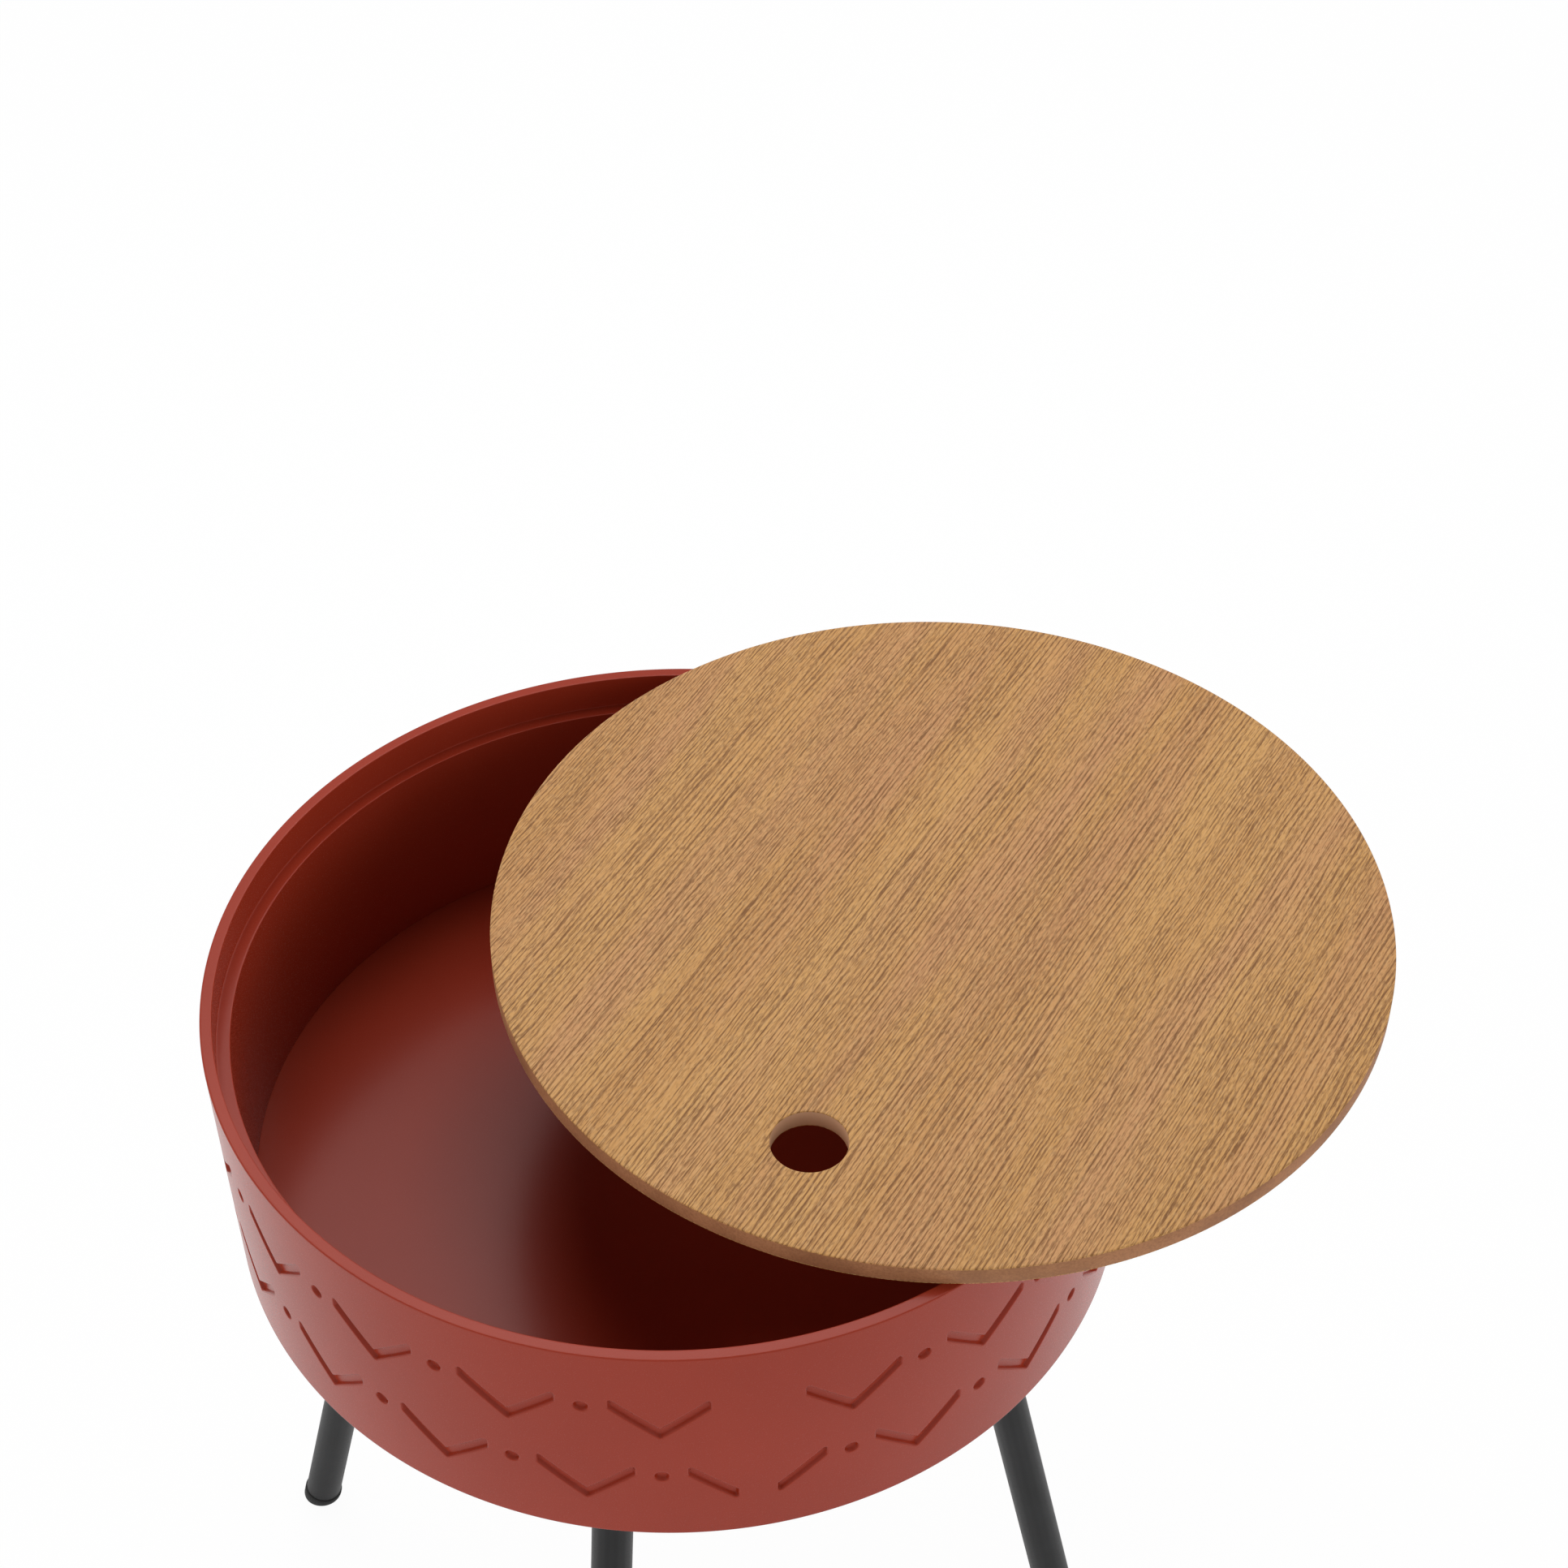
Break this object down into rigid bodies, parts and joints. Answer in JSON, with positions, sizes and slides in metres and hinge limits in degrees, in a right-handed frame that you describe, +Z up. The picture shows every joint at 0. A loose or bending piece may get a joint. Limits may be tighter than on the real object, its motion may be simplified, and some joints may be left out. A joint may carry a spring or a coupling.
{
  "type": "storage side table",
  "caption": "Round side table: a storage drum with routed chevrons and dots under a loose veneered lid with a finger hole, on splayed steel tube legs.",
  "frame": {"origin": "on the floor, in the middle between the feet, on the drum's axis", "axes": "+Z up, +X the way the lid is slid aside"},
  "size_m": [0.5115, 0.4, 0.469],
  "materials": {
    "lacquered_drum": "satin red lacquer on board",
    "lid_board": "stained board edge",
    "veneer": "open-pored straight-grained veneer, matt lacquer",
    "leg_steel": "dark grey powder coat",
    "foot_plastic": "matt black",
    "screw_steel": "zinc plated"
  },
  "bodies": {
    "stand": {"drum_wall": "lacquered_drum", "drum_floor": "lacquered_drum", "leg_tube_front": "leg_steel", "leg_plate_front": "leg_steel", "leg_tube_right": "leg_steel", "leg_plate_right": "leg_steel", "leg_tube_back": "leg_steel", "leg_plate_back": "leg_steel", "leg_tube_left": "leg_steel", "leg_plate_left": "leg_steel", "foot_caps": "foot_plastic", "plate_screws": "screw_steel"},
    "lid": {"lid_bottom_veneer": "veneer", "lid_core": "lid_board", "lid_top_veneer": "veneer"}
  },
  "joints": [
    {"name": "lid_slide", "type": "slide", "parent": "stand", "child": "lid", "axis": [1, 0, 0], "range_m": [-0.09, 0.065]}
  ]
}
